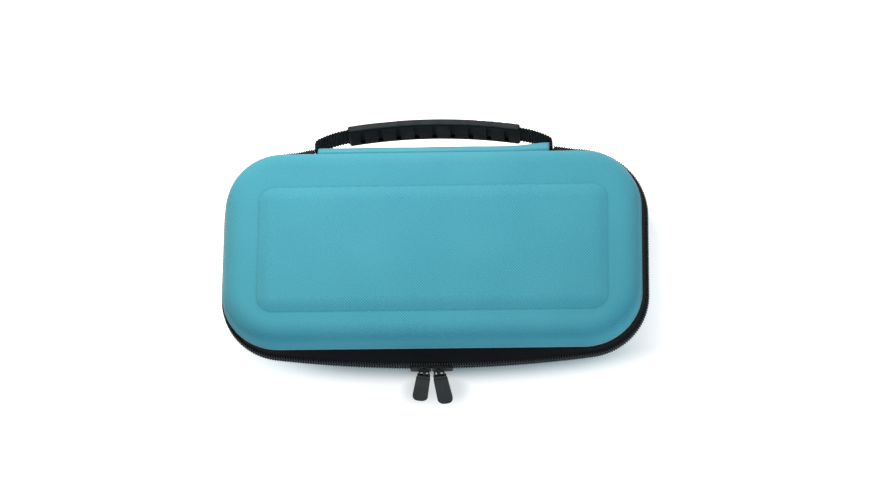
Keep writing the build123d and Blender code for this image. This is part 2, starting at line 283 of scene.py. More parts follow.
def spine_material():
    """The same weave on the spine, a little paler all over, with painted shade along its two seams."""
    shader = Shader("spine_weave", roughness=0.8, specular=0.12, sheen=0.06)
    u, v = shader.uv_cloth()
    color, height = turquoise(shader, u, v)
    color = shader.tint(SPINE_PALE_SHARE, color, SPINE_PALE)
    wrap = math.pi * (LID_RIM - BASE_RIM) / 2
    base_seam = RIM_DEPTH / 2 - SPINE_FLANGE
    lid_seam = wrap + 2 * (SPINE_ROOT - SPINE_FLANGE) - base_seam
    from_base, from_lid = (
        shader.math("ABSOLUTE", shader.math("SUBTRACT", v, seam * MM)) for seam in (base_seam, lid_seam)
    )
    from_seam = shader.math("MINIMUM", from_base, from_lid)
    # Painted shade: a dark line along each seam, where the cloth folds in against the rims
    seam = shader.flip(shader.smooth(from_seam, SEAM_FOLD * MM, SEAM_WIDTH * MM))
    color = shader.tint(shader.math("MULTIPLY", seam, SEAM_SHADE), color, TURQUOISE_DARK)
    return shader.finish(color, height, WEAVE_BUMP * MM, WEAVE_STRENGTH)


def edge_material():
    """Cut edge of the shells' fabric, paler than its face."""
    shader = Shader("rim_edge_weave", roughness=0.7, specular=0.15, sheen=0.1)
    color = shader.tint(shader.noise(EDGE_PATCH * MM, 3.0), *EDGE_TONES)
    return shader.finish(color, shader.noise(EDGE_FUZZ * MM), EDGE_BUMP * MM, 0.4)


def black_weave(name, pitch, tones, from_uv=False, ribs=0.0):
    """Black woven tape, with cross ribs where ribs is their share of the height."""
    shader = Shader(name, roughness=0.75, specular=0.1, sheen=0.03)
    u, v = shader.uv_cloth() if from_uv else shader.object_cloth()[:2]
    pitch = pitch * MM
    dots = shader.ridge(shader.math("MULTIPLY", shader.wave(u, pitch), shader.wave(v, pitch * 0.8)))
    height = shader.choose(ribs, dots, shader.ridge(shader.wave(u, pitch * 1.5)))
    fuzz = shader.noise(TAPE_FUZZ * MM, 3.0)
    color = shader.tint(shader.weigh(height, 0.6, fuzz, 0.4), *tones)
    return shader.finish(color, shader.math("ADD", height, fuzz), TAPE_BUMP * MM, 0.6)


def patches(shader, grain):
    """A fine grain, a wide uneven tone and their mean."""
    fine = shader.noise(grain * MM, 3.0)
    wide = shader.spread(shader.noise(PAINT_PATCH * MM, 2.0), 0.35, 0.65)
    return fine, wide, shader.weigh(fine, 0.5, wide, 0.5)


def moulded(name, tones, roughness, grain, bump, specular=0.5, edge_highlight_and_wear=None):
    """Moulded plastic or painted metal with a fine grain, an uneven tone and, where a colour is given for
    them, pale edges: a painted highlight and worn paint.
    """
    shader = Shader(name, roughness=roughness, specular=specular)
    fine, wide, mottle = patches(shader, grain)
    shader.put(shader.bsdf.inputs["Roughness"], shader.choose(wide, roughness * 0.9, roughness * 1.15))
    color = shader.tint(mottle, *tones)
    if edge_highlight_and_wear:
        bevel = shader.add("ShaderNodeBevel")
        bevel.inputs["Radius"].default_value = EDGE_HIGHLIGHT_AND_WEAR_RADIUS * MM
        bend = shader.add("ShaderNodeVectorMath")
        bend.operation = "DOT_PRODUCT"
        shader.put(bend.inputs[0], bevel.outputs[0])
        shader.put(bend.inputs[1], shader.add("ShaderNodeNewGeometry").outputs["Normal"])
        # Painted highlight and worn paint along the edges, patchy with the uneven tone
        edge = shader.flip(shader.spread(bend.outputs["Value"], 0.86, 0.985))
        color = shader.tint(shader.math("MULTIPLY", edge, shader.choose(wide, 0.5, 1.0)), color, edge_highlight_and_wear)
    return shader.finish(color, fine, bump * MM, 0.4)


def grip_material():
    """Moulded rubber, with a painted highlight where it faces up and painted shade in the slots of the grip's
    inner face.
    """
    shader = Shader("grip_rubber", roughness=0.6, specular=0.08)
    x, y, z = shader.split(shader.add("ShaderNodeTexCoord").outputs["Object"])
    back = shader.math("SUBTRACT", y, HINGE_Y * MM)
    rise = shader.math("SUBTRACT", z, MID_Z * MM)
    c, s = math.cos(HANDLE_DROOP), math.sin(HANDLE_DROOP)
    reach = shader.math("SUBTRACT", shader.math("MULTIPLY", back, c), shader.math("MULTIPLY", rise, s))
    across = shader.weigh(back, s, rise, c)
    out = shader.math("SUBTRACT", reach, (HANDLE_REACH - GRIP_RADIUS) * MM)
    radius = shader.length(x, out)
    # Painted shade: points sunk into the inner face, within the slots' height and row, get a darker colour
    slot_shade = shader.math("GREATER_THAN", radius, (GRIP_RADIUS - GRIP_THICKNESS / 2 + SLOT_DEPTH) * MM)
    for distance, limit in (
        (radius, GRIP_RADIUS),
        (shader.math("ABSOLUTE", across), SLOT_HEIGHT / 2 + SLOT_MARGIN),
        (shader.math("ABSOLUTE", x), SLOT_COUNT * SLOT_PITCH / 2),
    ):
        slot_shade = shader.math("MULTIPLY", slot_shade, shader.math("LESS_THAN", distance, limit * MM))
    fine, wide, mottle = patches(shader, GRIP_GRAIN)
    face = shader.tint(mottle, *GRIP_TONES)
    _, _, nz = shader.split(shader.add("ShaderNodeTexCoord").outputs["Normal"])
    # Painted highlight: a paler colour where the rubber faces up, patchy with its uneven tone
    highlight_share = shader.math("ADD", 0.55, shader.math("MULTIPLY", wide, 0.4))
    face = shader.tint(shader.math("MULTIPLY", shader.spread(nz, 0.45, 0.95), highlight_share), face, GRIP_TOP_HIGHLIGHT)
    shader.put(shader.bsdf.inputs["Roughness"], shader.choose(wide, 0.54, 0.68))
    return shader.finish(shader.tint(slot_shade, face, GRIP_SLOT_SHADE), fine, GRIP_BUMP * MM, 0.4)


lid_cloth = shell_material("lid_weave", -1.0)
base_cloth = shell_material("base_weave", 1.0)
spine_cloth = spine_material()
edge_cloth = edge_material()
tape_cloth = black_weave("zip_tape_weave", 0.9, TAPE_TONES, from_uv=True)
binding_cloth = black_weave("binding_weave", 0.8, BINDING_TONES, from_uv=True, ribs=0.8)
elastic_cloth = black_weave("elastic_weave", 0.8, ELASTIC_TONES, from_uv=True, ribs=0.5)
net_cloth = black_weave("net_knit", 0.5, NET_TONES)
grip_rubber = grip_material()
slider_paint = moulded("slider_paint", SLIDER_TONES, 0.42, 0.9, 0.02, specular=0.1, edge_highlight_and_wear=SLIDER_EDGE_HIGHLIGHT_AND_WEAR)
wire_paint = moulded("wire_paint", WIRE_TONES, 0.34, 0.9, 0.02, specular=0.2)
tab_rubber = moulded("tab_rubber", TAB_TONES, 0.62, 0.4, 0.04, specular=0.2)
thread_cloth = moulded("thread", THREAD_TONES, 0.6, 0.3, 0.05)

node_materials = {"lid_shell": lid_cloth, "base_shell": base_cloth, "handle_grip": grip_rubber}
for side in ("left_", "right_"):
    for node, material in (("slider_body", slider_paint), ("pull_loop", wire_paint), ("pull_tab", tab_rubber)):
        node_materials[side + node] = material
for node, material in node_materials.items():
    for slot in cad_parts[node].material_slots:
        slot.material = material


# Lines and meshes
def arc(centre, radius, start, end, step=0.5):
    """Points along an arc, angles in degrees."""
    count = max(2, math.ceil(abs(math.radians(end - start)) * radius / step) + 1)
    angles = np.radians(np.linspace(start, end, count))
    return np.stack([centre[0] + radius * np.cos(angles), centre[1] + radius * np.sin(angles)], 1)


def join_runs(runs):
    """One line from several runs, without doubled points."""
    points = np.vstack(runs)
    keep = np.ones(len(points), bool)
    keep[1:] = np.linalg.norm(np.diff(points, axis=0), axis=1) > 1e-6
    return points[keep]


def even(points, count, closed=False):
    """count points spaced evenly along a line, and the line's length."""
    if closed:
        points = np.vstack([points, points[:1]])
    lengths = np.concatenate([[0], np.cumsum(np.linalg.norm(np.diff(points, axis=0), axis=1))])
    at = np.linspace(0, lengths[-1], count + 1)[:-1] if closed else np.linspace(0, lengths[-1], count)
    return np.stack([np.interp(at, lengths, points[:, k]) for k in range(points.shape[1])], 1), lengths[-1]


def headings(points, closed=False):
    """Unit tangents of a flat line and the normals to its left."""
    if closed:
        tangent = np.roll(points, -1, 0) - np.roll(points, 1, 0)
    else:
        tangent = np.gradient(points, axis=0)
    tangent = tangent / np.linalg.norm(tangent, axis=1)[:, None]
    return tangent, np.stack([-tangent[:, 1], tangent[:, 0]], 1)


RUN_COUNTS = (12, 60, 45, 55, 80)


def zip_runs(inset, clear=0.0):
    """Runs of the zip's outline from the spine's right end, or clear of it, to the middle of the front."""
    bow_y = BOW_RADIUS - ZIP_FRONT
    front_x, back_x = SIDE_X - FRONT_CORNER, SIDE_X - BACK_CORNER
    back_y = ZIP_BACK - BACK_CORNER
    front_y = bow_y - math.sqrt((BOW_RADIUS - FRONT_CORNER) ** 2 - front_x**2)
    turn = math.degrees(math.asin(front_x / (BOW_RADIUS - FRONT_CORNER)))
    return [
        np.array([[SPINE_WINDOW / 2 + clear, ZIP_BACK - inset], [back_x, ZIP_BACK - inset]]),
        arc((back_x, back_y), BACK_CORNER - inset, 90, 0),
        np.array([[SIDE_X - inset, back_y], [SIDE_X - inset, front_y]]),
        arc((front_x, front_y), FRONT_CORNER - inset, 0, turn - 90),
        arc((0, bow_y), BOW_RADIUS - inset, 270 + turn, 270),
    ]


def rim_runs(inset):
    """Runs of the rim's outline that match the zip's."""
    radius = RIM_CORNER - inset
    x, y = RIM_LENGTH / 2 - RIM_CORNER, RIM_DEPTH / 2 - RIM_CORNER
    return [
        np.array([[SPINE_WINDOW / 2, y + radius], [x, y + radius]]),
        arc((x, y), radius, 90, 0),
        np.array([[x + radius, y], [x + radius, -y]]),
        arc((x, -y), radius, 0, -90),
        np.array([[x, -y - radius], [0, -y - radius]]),
    ]


def outline(runs):
    """One open line from the runs and their mirror image, with as many points for any inset."""
    parts = [even(run, count)[0] for run, count in zip(runs, RUN_COUNTS)]
    half = np.vstack([parts[0]] + [part[1:] for part in parts[1:]])
    return np.vstack([half, half[-2::-1] * np.array([-1, 1])])


def zip_line(inset, clear=0.0):
    """The zip's outline from the spine's right end round the front to its left end."""
    line = outline(zip_runs(inset, clear))
    from_spine = np.clip((np.abs(line[:, 0]) - SPINE_WINDOW / 2) / BULGE_LENGTH, 0, 1)
    away = np.where(line[:, 1] > 0, from_spine * from_spine * (3 - 2 * from_spine), 1)
    return line + np.stack([ZIP_SHIFT * away, ZIP_BULGE * (1 - away)], 1)


def rim_line(inset):
    """The rim's rounded outline, moved inward, counter-clockwise from the front right corner."""
    radius = RIM_CORNER - inset
    x, y = RIM_LENGTH / 2 - RIM_CORNER, RIM_DEPTH / 2 - RIM_CORNER
    return join_runs([
        arc((x, -y), radius, -90, 0),
        arc((x, y), radius, 0, 90),
        arc((-x, y), radius, 90, 180),
        arc((-x, -y), radius, 180, 270),
    ])


def make_piece(name, vertices, faces, body, material, uvs=None):
    """A smooth mesh piece from millimetres, which rides on the body if one is given."""
    mesh = bpy.data.meshes.new(name)
    mesh.from_pydata((np.asarray(vertices, float) * MM).tolist(), [], faces)
    shape = bmesh.new()
    shape.from_mesh(mesh)
    bmesh.ops.recalc_face_normals(shape, faces=shape.faces)
    shape.to_mesh(mesh)
    shape.free()
    if uvs is not None:
        layer = mesh.uv_layers.new(name="metres")
        at = np.zeros(len(mesh.loops), np.int32)
        mesh.loops.foreach_get("vertex_index", at)
        layer.data.foreach_set("uv", (np.asarray(uvs, np.float32) * MM)[at].ravel())
    mesh.polygons.foreach_set("use_smooth", np.ones(len(mesh.polygons), bool))
    mesh.materials.append(material)
    piece = bpy.data.objects.new(name, mesh)
    bpy.context.scene.collection.objects.link(piece)
    if body:
        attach(piece, body)
    return piece


def skin(rings, closed=False, offset=0):
    """Faces that join rings, given as their count and size, numbered from offset; capped where not closed."""
    count, size = rings
    faces = []
    for i in range(count if closed else count - 1):
        a, b = offset + i * size, offset + (i + 1) % count * size
        for j in range(size):
            k = (j + 1) % size
            faces.append((a + j, b + j, b + k, a + k))
    if not closed:
        faces.append(tuple(offset + j for j in range(size)))
        faces.append(tuple(offset + (count - 1) * size + j for j in reversed(range(size))))
    return faces


def tube_rings(line, side, radius, sides):
    """Rings of a round tube along a 3-D line, turned to keep side as their first direction."""
    tangent = np.gradient(line, axis=0)
    tangent = tangent / np.linalg.norm(tangent, axis=1)[:, None]
    first = side - (side * tangent).sum(1)[:, None] * tangent
    first = first / np.linalg.norm(first, axis=1)[:, None]
    second = np.cross(tangent, first)
    turn = np.linspace(0, 2 * np.pi, sides, endpoint=False)
    rings = line[:, None] + radius * (
        np.cos(turn)[None, :, None] * first[:, None] + np.sin(turn)[None, :, None] * second[:, None]
    )
    return rings.reshape(-1, 3)


def rounded_section(half_width, half_height, radius, per_corner=3):
    """A rounded rectangle as points about its middle, counter-clockwise."""
    points = []
    for x, y, start in ((1, 1, 0), (-1, 1, 90), (-1, -1, 180), (1, -1, 270)):
        for angle in np.radians(np.linspace(start, start + 90, per_corner)):
            points.append((
                x * (half_width - radius) + radius * math.cos(angle),
                y * (half_height - radius) + radius * math.sin(angle),
            ))
    return np.array(points)


def hang_zip(piece, half):
    if half == "lid":
        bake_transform(piece)
    else:
        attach(piece, half)


# Zip coils: a nylon wire wound round a cord, as such zips have
COIL_PITCH, COIL_WIRE, TURN_STEPS, WIRE_SIDES, COIL_CLEAR = 1.4, 0.36, 12, 6, 0.5
COIL_CORE, CORE_ROUND, CORE_POINTS, LINE_POINTS = 0.6, 0.3, 400, 1200
# A turn is a rounded square: the power that flattens its sides
TURN_POWER = 0.55


def coil_material():
    """Nylon winding, paler than the cord inside it as a painted highlight on the black nylon; the cord has a
    UV height of 0.
    """
    shader = Shader("coil_nylon", roughness=0.5, specular=0.06)
    _, wound = shader.uv_cloth()
    fine = shader.noise(0.6 * MM, 3.0)
    # Painted highlight: the winding gets paler tones than the cord
    winding = shader.tint(fine, *COIL_HIGHLIGHT_TONES)
    color = shader.tint(shader.math("GREATER_THAN", wound, 0.5 * MM), CORD_BLACK, winding)
    return shader.finish(color, fine, 0.03 * MM, 0.3)


coil_nylon = coil_material()


def flattened(values):
    return np.sign(values) * np.abs(values) ** TURN_POWER


def make_coil(name, middle, half, node):
    """Wire wound round a cord at this height along the zip."""
    line, length = even(zip_line(COIL_WIDTH / 2, COIL_CLEAR), LINE_POINTS)
    turns = round(length / COIL_PITCH)
    steps = turns * TURN_STEPS + 1
    path, _ = even(line, steps)
    tangent, out = headings(path)
    angle = np.linspace(0, 2 * np.pi * turns, steps)
    across = flattened(np.cos(angle)) * (COIL_WIDTH / 2 - COIL_WIRE)
    up = flattened(np.sin(angle)) * (COIL_HEIGHT / 2 - COIL_WIRE)
    wire = np.column_stack([path + out * across[:, None], middle + up])
    along = np.column_stack([tangent, np.zeros(steps)])
    vertices = tube_rings(wire, along, COIL_WIRE, WIRE_SIDES)
    faces = skin((steps, WIRE_SIDES))
    core, _ = even(line, CORE_POINTS)
    _, core_out = headings(core)
    section = rounded_section(COIL_CORE, COIL_CORE, CORE_ROUND, 2)
    size = len(section)
    flat = np.repeat(core, size, 0) + np.repeat(core_out, size, 0) * np.tile(section[:, :1], (len(core), 1))
    rings = np.column_stack([flat, middle + np.tile(section[:, 1], len(core))])
    faces += skin((len(core), size), offset=len(vertices))
    uvs = np.zeros((len(vertices) + len(rings), 2))
    uvs[: len(vertices), 1] = 1
    coil = make_piece(name, np.vstack([vertices, rings]), faces, None, coil_nylon, uvs)
    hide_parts(node)
    hang_zip(coil, half)


coil_rise = COIL_GAP / 2 + COIL_HEIGHT / 2
make_coil("upper_coil_winding", MID_Z + coil_rise, "lid", "upper_zip_coil")
make_coil("lower_coil_winding", MID_Z - coil_rise, "base", "lower_zip_coil")

# Zip tapes, sewn under the rims and a little slack, with a lip that the coil is sewn on
TAPE_ROWS, TAPE_BULGE, TAPE_PUCKER, PUCKER_LENGTH = 7, 0.18, 0.07, 8.3
LIP_OUTER, LIP_INNER, LIP_RISE = 1.4, 2.3, 1.9


def make_tape(name, toward, half, node):
    """Tape from a coil to a rim; toward is 1 for the lid and -1 for the base."""
    foot, foot_in = zip_line(COIL_WIDTH - TAPE_LAP), zip_line(COIL_WIDTH - TAPE_LAP + TAPE_THICKNESS)
    head, head_in = outline(rim_runs(TAPE_TUCK)), outline(rim_runs(TAPE_TUCK + TAPE_THICKNESS))
    _, out = headings(foot)
    along = np.concatenate([[0], np.cumsum(np.linalg.norm(np.diff(foot, axis=0), axis=1))])
    slow, fast = along / PUCKER_LENGTH * 4.1 + 1, along / PUCKER_LENGTH * 2 * np.pi
    ripple = TAPE_PUCKER * (np.sin(fast) + 0.6 * np.sin(slow))
    coil_top, rim_rise = COIL_GAP / 2 + COIL_HEIGHT, LID_RIM - MID_Z
    rows = [(zip_line(LIP_OUTER), LIP_RISE)]
    for lower, upper, shares in (
        (foot, head, np.linspace(0, 1, TAPE_ROWS)),
        (foot_in, head_in, np.linspace(1, 0, TAPE_ROWS)),
    ):
        for share in shares:
            swell = (TAPE_BULGE + ripple) * math.sin(math.pi * share)
            flat = lower * (1 - share) + upper * share + out * swell[:, None]
            rise = coil_top + (rim_rise - coil_top) * share
            rows.append((flat, rise))
    rows += [(zip_line(LIP_INNER), coil_top), (zip_line(LIP_INNER), LIP_RISE)]
    flats, rises = zip(*rows)
    heights = np.tile(MID_Z + toward * np.array(rises), len(foot))
    vertices = np.column_stack([np.stack(flats, 1).reshape(-1, 2), heights])
    uvs = np.stack([np.repeat(along, len(rows)), np.tile(rises, len(foot))], 1)
    tape = make_piece(name, vertices, skin((len(foot), len(rows))), None, tape_cloth, uvs)
    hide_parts(node)
    hang_zip(tape, half)


make_tape("upper_tape_cloth", 1, "lid", "upper_zip_tape")
make_tape("lower_tape_cloth", -1, "base", "lower_zip_tape")

# Pale rolled edge of the fabric along each rim
EDGE_RADIUS, EDGE_SIDES, EDGE_INSET, EDGE_POINTS = 0.45, 8, 0.2, 420


def make_rim_edge(name, height, body):
    line, _ = even(rim_line(EDGE_INSET), EDGE_POINTS, closed=True)
    _, left = headings(line, closed=True)
    count = len(line)
    turn = np.linspace(0, 2 * np.pi, EDGE_SIDES, endpoint=False)
    out = -np.repeat(left, EDGE_SIDES, 0)
    vertices = np.column_stack([
        np.repeat(line, EDGE_SIDES, 0) + out * EDGE_RADIUS * np.tile(np.cos(turn), count)[:, None],
        height + EDGE_RADIUS * np.tile(np.sin(turn), count),
    ])
    make_piece(name, vertices, skin((count, EDGE_SIDES), closed=True), body, edge_cloth)


make_rim_edge("lid_rim_edge", LID_RIM + EDGE_RADIUS, "lid")
make_rim_edge("base_rim_edge", BASE_RIM - EDGE_RADIUS, "base")

# Handle webbing with cross ribs
RIB_PITCH, RIB_STEPS, RIB_DEPTH, RIB_POWER, RIB_NOTCH = 1.65, 8, 0.36, 0.6, 1.6
THREAD_PITCH, WEBBING_BUMP = 0.7, 0.15


def webbing_material(pitch):
    """Black webbing, with painted shade between its ribs."""
    shader = Shader("webbing_weave", roughness=0.75, specular=0.08, sheen=0.03)
    u, v = shader.uv_cloth()
    ridge = shader.math("ABSOLUTE", shader.math("SINE", shader.math("MULTIPLY", u, math.pi / (pitch * MM))))
    threads = shader.ridge(shader.wave(v, THREAD_PITCH * MM))
    fuzz = shader.noise(TAPE_FUZZ * MM, 3.0)
    # Painted shade: the colour falls to the dark tone between the ribs
    mottle = shader.math("MULTIPLY", ridge, shader.math("ADD", 0.45, shader.math("MULTIPLY", threads, 0.3)))
    mottle = shader.math("ADD", mottle, shader.math("MULTIPLY", fuzz, 0.25))
    color = shader.tint(mottle, *WEBBING_TONES)
    return shader.finish(color, shader.math("ADD", threads, fuzz), WEBBING_BUMP * MM, 0.5)


def handle_line():
    """The strap's middle line in the handle's plane, from its left foot to its right foot."""
    centre_y = HANDLE_REACH - GRIP_RADIUS
    grip_turn = math.asin(GRIP_LENGTH / 2 / GRIP_RADIUS)
    end = (GRIP_LENGTH / 2, centre_y + GRIP_RADIUS * math.cos(grip_turn))
    bend = (STRAP_FOOT - STRAP_BEND, STRAP_SHOULDER)
    run, drop = bend[0] - end[0], end[1] - bend[1]
    reach = drop * math.cos(grip_turn) - run * math.sin(grip_turn) - STRAP_BEND
    radius = (run**2 + drop**2 - STRAP_BEND**2) / (2 * reach)
    curve = (end[0] - radius * math.sin(grip_turn), end[1] - radius * math.cos(grip_turn))
    strap_turn = math.atan2(bend[0] - curve[0], bend[1] - curve[1])
    grip_angle, strap_angle = math.degrees(grip_turn), math.degrees(strap_turn)
    right = join_runs([
        arc((0, centre_y), GRIP_RADIUS, 90, 90 - grip_angle),
        arc(curve, radius, 90 - grip_angle, 90 - strap_angle),
        arc(bend, STRAP_BEND, 90 - strap_angle, 0, 0.2),
        np.array([[STRAP_FOOT, -STRAP_TAIL]]),
    ])
    return join_runs([right[::-1] * np.array([-1, 1]), right])


def handle_to_world(x, y, z):
    """Points of the handle's drooping plane in the frame."""
    c, s = math.cos(HANDLE_DROOP), math.sin(HANDLE_DROOP)
    return np.stack([x, HINGE_Y + y * c + z * s, MID_Z - y * s + z * c], -1)


def make_webbing():
    line = handle_line()
    _, length = even(line, 2)
    ribs = round(length / RIB_PITCH)
    count = ribs * RIB_STEPS + 1
    path, _ = even(line, count)
    _, left = headings(path)
    swell = np.abs(np.sin(np.linspace(0, np.pi * ribs, count))) ** RIB_POWER
    half_thick = STRAP_THICKNESS / 2 - RIB_DEPTH * (1 - swell)
    half_wide = STRAP_WIDTH / 2 - RIB_NOTCH * RIB_DEPTH * (1 - swell)
    section = rounded_section(1.0, 1.0, 0.1, 3)
    size = len(section)
    depth = half_thick[:, None] * section[None, :, 1]
    across = half_wide[:, None] * section[None, :, 0]
    x = path[:, :1] + left[:, :1] * depth
    y = path[:, 1:] + left[:, 1:] * depth
    vertices = handle_to_world(x, y, across).reshape(-1, 3)
    along = np.linspace(0, length, count)
    uvs = np.stack([np.repeat(along, size), across.ravel() + depth.ravel()], 1)
    cloth = webbing_material(length / ribs)
    webbing = make_piece("ribbed_webbing", vertices, skin((count, size)), "handle", cloth, uvs)
    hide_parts("handle_webbing")


make_webbing()

# Spine cover: folded cloth between two heights that flares at its right end
FLARE_START, FLARE_RISE, FLARE_LIFT, FLARE_FOOT = 42.0, 1.9, 0.35, 0.4
SPINE_STATIONS, SPINE_STEP, BEND_LOW, BEND_HIGH = 90, 0.8, 18.0, 28.0


def make_spine():
    radius = (LID_RIM - BASE_RIM) / 2
    outer = np.vstack([
        [[SPINE_FLANGE, BASE_RIM]],
        arc((SPINE_ROOT, MID_Z), radius, -90, 90, SPINE_STEP),
        [[SPINE_FLANGE, LID_RIM]],
    ])
    inner = np.vstack([
        [[SPINE_FLANGE, LID_RIM - SPINE_WALL]],
        arc((SPINE_ROOT, MID_Z), radius - SPINE_WALL, 90, -90, SPINE_STEP),
        [[SPINE_FLANGE, BASE_RIM + SPINE_WALL]],
    ])
    section = np.vstack([outer, inner])
    lengths = np.concatenate([[0], np.cumsum(np.linalg.norm(np.diff(section, axis=0), axis=1))])
    stations = np.linspace(-SPINE_LENGTH / 2, SPINE_LENGTH / 2, SPINE_STATIONS)
    vertices, uvs = [], []
    for x in stations:
        rise = np.clip((x - FLARE_START) / (SPINE_LENGTH / 2 - FLARE_START), 0, 1)
        rise = FLARE_RISE * rise * rise * (3 - 2 * rise)
        ripple = 0.07 * math.sin(x / 7.3) + 0.04 * math.sin(x / 3.1 + 1.0)
        for (y, z), s in zip(section, lengths):
            bulge = np.clip((y - SPINE_ROOT) / radius, 0, 1)
            upper = np.clip((z - MID_Z) / radius + FLARE_FOOT, 0, 1)
            vertices.append((x, y + bulge * (rise * upper + ripple), z + FLARE_LIFT * rise * upper * bulge))
            uvs.append((x, s))
    faces = skin((len(stations), len(section)))
    spine = make_piece("spine_cover", vertices, faces, None, spine_cloth, uvs)
    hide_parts("spine_panel")
    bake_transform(spine)


make_spine()

# Stitches: short threads that dip into the cloth at both ends
STITCH_LENGTH, STITCH_PITCH, THREAD_RADIUS, STITCH_SIDES = 2.3, 3.2, 0.2, 6
# Along a stitch: places as shares of its half length, widths and rises as shares of the thread's radius
STITCH_PLACES, STITCH_WIDTHS = (-1.0, -0.65, 0.0, 0.65, 1.0), (0.3, 0.85, 1.0, 0.85, 0.3)
STITCH_RISES = (-0.6, 0.15, 0.45, 0.15, -0.6)


def straight_row(start, end, facing):
    """Middles, directions and facings of the stitches in a straight row."""
    start, end = np.array(start, float), np.array(end, float)
    length = np.linalg.norm(end - start)
    count = max(1, round(length / STITCH_PITCH))
    shares = (np.arange(count) + 0.5) / count
    middles = start + shares[:, None] * (end - start)
    return middles, np.tile((end - start) / length, (count, 1)), np.tile(np.array(facing, float), (count, 1))


def seam_row(inset, height):
    """The same for a row along the rim, facing inward."""
    line = rim_line(inset)
    count = round(even(line, 4, closed=True)[1] / STITCH_PITCH)
    middles, _ = even(line, count, closed=True)
    tangent, left = headings(middles, closed=True)
    levels = np.full(count, height), np.zeros(count), np.zeros(count)
    return tuple(np.column_stack(pair) for pair in zip((middles, tangent, left), levels))


def make_stitches(name, rows, body):
    middles, along, facing = (np.vstack(parts)[:, None, None] for parts in zip(*rows))
    side = np.cross(facing, along)
    steps = STITCH_LENGTH / 2 * np.array(STITCH_PLACES)[None, :, None, None]
    widths = THREAD_RADIUS * np.array(STITCH_WIDTHS)[None, :, None, None]
    rises = THREAD_RADIUS * np.array(STITCH_RISES)[None, :, None, None]
    turn = np.linspace(0, 2 * np.pi, STITCH_SIDES, endpoint=False)[None, None, :, None]
    rings = middles + along * steps + facing * (rises + widths * np.cos(turn)) + side * widths * np.sin(turn)
    size = rings.shape[1] * STITCH_SIDES
    faces = [f for k in range(len(rings)) for f in skin((rings.shape[1], STITCH_SIDES), offset=k * size)]
    return make_piece(name, rings.reshape(-1, 3), faces, body, thread_cloth)


# Bindings over the seams inside, drawn in a little at each stitch
SEAM_ROWS, BINDING_STEPS, BINDING_PUCKER, BINDING_ROUND = (0.9, 3.6), 8, 0.1, 0.3


def make_binding(name, toward, body, node):
    """Tape over a rim's inner edge; toward is 1 for the lid and -1 for the base."""
    rim = LID_RIM if toward > 0 else BASE_RIM
    line = rim_line(0)
    _, length = even(line, 4, closed=True)
    count = round(length / STITCH_PITCH) * BINDING_STEPS
    line, _ = even(line, count, closed=True)
    _, inward = headings(line, closed=True)
    section = rounded_section(BINDING_HEIGHT / 2, BINDING_THICKNESS / 2, BINDING_ROUND, 4)
    rise = BINDING_HEIGHT / 2 + section[:, 0]
    depth = BINDING_THICKNESS / 2 + section[:, 1]
    wave = np.cos(np.arange(count) * 2 * np.pi / BINDING_STEPS)
    pucker = depth / BINDING_THICKNESS * np.sin(np.pi * rise / BINDING_HEIGHT)
    swell = BINDING_PUCKER * wave[:, None] * pucker[None]
    inset = SHELL_WALL + rise * WALL_SLOPE + depth + swell
    flat = line[:, None] + inward[:, None] * inset[:, :, None]
    heights = np.broadcast_to(rim + toward * rise, inset.shape)
    vertices = np.concatenate([flat, heights[:, :, None]], 2).reshape(-1, 3)
    along = np.arange(count) * length / count
    uvs = np.stack([np.repeat(along, len(section)), np.tile(rise + depth, count)], 1)
    faces = skin((count, len(section)), closed=True)
    binding = make_piece(name, vertices, faces, body, binding_cloth, uvs)
    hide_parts(node)
    face = SHELL_WALL + BINDING_THICKNESS
    rows = [seam_row(face + row * WALL_SLOPE, rim + toward * row) for row in SEAM_ROWS]
    make_stitches(name + "_stitches", rows, body)


make_binding("lid_binding_tape", 1, "lid", "lid_seam_binding")
make_binding("base_binding_tape", -1, "base", "base_seam_binding")

# Net pocket in the lid: a knitted net with round holes, a hem and an elastic mouth
NET_PITCH, NET_HOLE, NET_HALF, NET_LIP, NET_SIDES = 3.6, 1.02, 0.35, 0.2, 12
NET_MARGIN, NET_SAG = 0.05, 0.12
HEM_INSET, HEM_WIDTH, HEM_THICKNESS, HEM_ROUND, HEM_POINTS = 3.85, 3.9, 1.1, 0.4, 300
MOUTH_RIB, MOUTH_STEPS, MOUTH_SWELL, MOUTH_ROUND, MOUTH_SEAM = 1.8, 6, 0.09, 0.9, 0.9


def within_rim(x, y, inset):
    """Whether a place is inside the rim's outline moved inward."""
    past_x = max(abs(x) - (RIM_LENGTH / 2 - RIM_CORNER), 0)
    past_y = max(abs(y) - (RIM_DEPTH / 2 - RIM_CORNER), 0)
    return math.hypot(past_x, past_y) <= RIM_CORNER - inset


def net_cells():
    """Middles of the cells that lie whole within the hem and the mouth."""
    edge = HEM_INSET + NET_PITCH / math.sqrt(3) + NET_MARGIN
    row_step, columns = NET_PITCH * math.sqrt(3) / 2, math.ceil(RIM_LENGTH / 2 / NET_PITCH)
    for row in range(math.ceil((RIM_DEPTH / 2 - POCKET_MOUTH) / row_step)):
        y = POCKET_MOUTH + row * row_step
        for column in range(-columns, columns):
            x = (column + 0.5 * (row % 2)) * NET_PITCH
            if within_rim(x, y, edge):
                yield x, y


